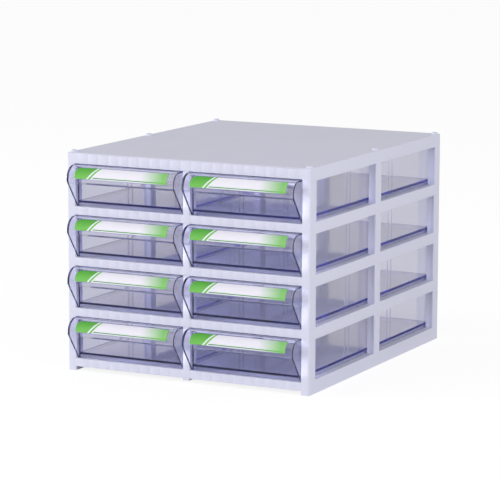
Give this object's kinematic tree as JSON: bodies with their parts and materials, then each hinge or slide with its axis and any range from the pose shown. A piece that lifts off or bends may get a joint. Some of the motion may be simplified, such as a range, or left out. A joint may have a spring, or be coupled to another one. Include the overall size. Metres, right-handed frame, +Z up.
{
  "type": "parts cabinet",
  "caption": "Tabletop cabinet of stacked moulded tiers with two columns of clear hooded drawers for small parts, open sides and back, and pegs on top for stacking.",
  "frame": {"origin": "on the floor, in the middle of the footprint with the hoods counted in", "axes": "+X to the right seen from the front, +Y to the back, +Z up"},
  "size_m": [0.25, 0.316, 0.2078],
  "materials": {
    "frame_plastic": "pale lilac white, satin gloss moulding",
    "clear_blue_plastic": "clear with a blue violet tint, glossy",
    "label_card": "coated paper, white with green"
  },
  "bodies": {
    "cabinet": {"base_frame": "frame_plastic", "frame_tier_2": "frame_plastic", "frame_tier_3": "frame_plastic", "frame_tier_4": "frame_plastic", "top_cover": "frame_plastic"},
    "drawer_row1_left": {"drawer_row1_left": "clear_blue_plastic", "label_card_row1_left": "label_card"},
    "drawer_row1_right": {"drawer_row1_right": "clear_blue_plastic", "label_card_row1_right": "label_card"},
    "drawer_row2_left": {"drawer_row2_left": "clear_blue_plastic", "label_card_row2_left": "label_card"},
    "drawer_row2_right": {"drawer_row2_right": "clear_blue_plastic", "label_card_row2_right": "label_card"},
    "drawer_row3_left": {"drawer_row3_left": "clear_blue_plastic", "label_card_row3_left": "label_card"},
    "drawer_row3_right": {"drawer_row3_right": "clear_blue_plastic", "label_card_row3_right": "label_card"},
    "drawer_row4_left": {"drawer_row4_left": "clear_blue_plastic", "label_card_row4_left": "label_card"},
    "drawer_row4_right": {"drawer_row4_right": "clear_blue_plastic", "label_card_row4_right": "label_card"}
  },
  "joints": [
    {"name": "row1_left_slide", "type": "slide", "parent": "cabinet", "child": "drawer_row1_left", "axis": [0, -1, 0], "range_m": [0, 0.25]},
    {"name": "row1_right_slide", "type": "slide", "parent": "cabinet", "child": "drawer_row1_right", "axis": [0, -1, 0], "range_m": [0, 0.25]},
    {"name": "row2_left_slide", "type": "slide", "parent": "cabinet", "child": "drawer_row2_left", "axis": [0, -1, 0], "range_m": [0, 0.25]},
    {"name": "row2_right_slide", "type": "slide", "parent": "cabinet", "child": "drawer_row2_right", "axis": [0, -1, 0], "range_m": [0, 0.25]},
    {"name": "row3_left_slide", "type": "slide", "parent": "cabinet", "child": "drawer_row3_left", "axis": [0, -1, 0], "range_m": [0, 0.25]},
    {"name": "row3_right_slide", "type": "slide", "parent": "cabinet", "child": "drawer_row3_right", "axis": [0, -1, 0], "range_m": [0, 0.25]},
    {"name": "row4_left_slide", "type": "slide", "parent": "cabinet", "child": "drawer_row4_left", "axis": [0, -1, 0], "range_m": [0, 0.25]},
    {"name": "row4_right_slide", "type": "slide", "parent": "cabinet", "child": "drawer_row4_right", "axis": [0, -1, 0], "range_m": [0, 0.25]}
  ]
}
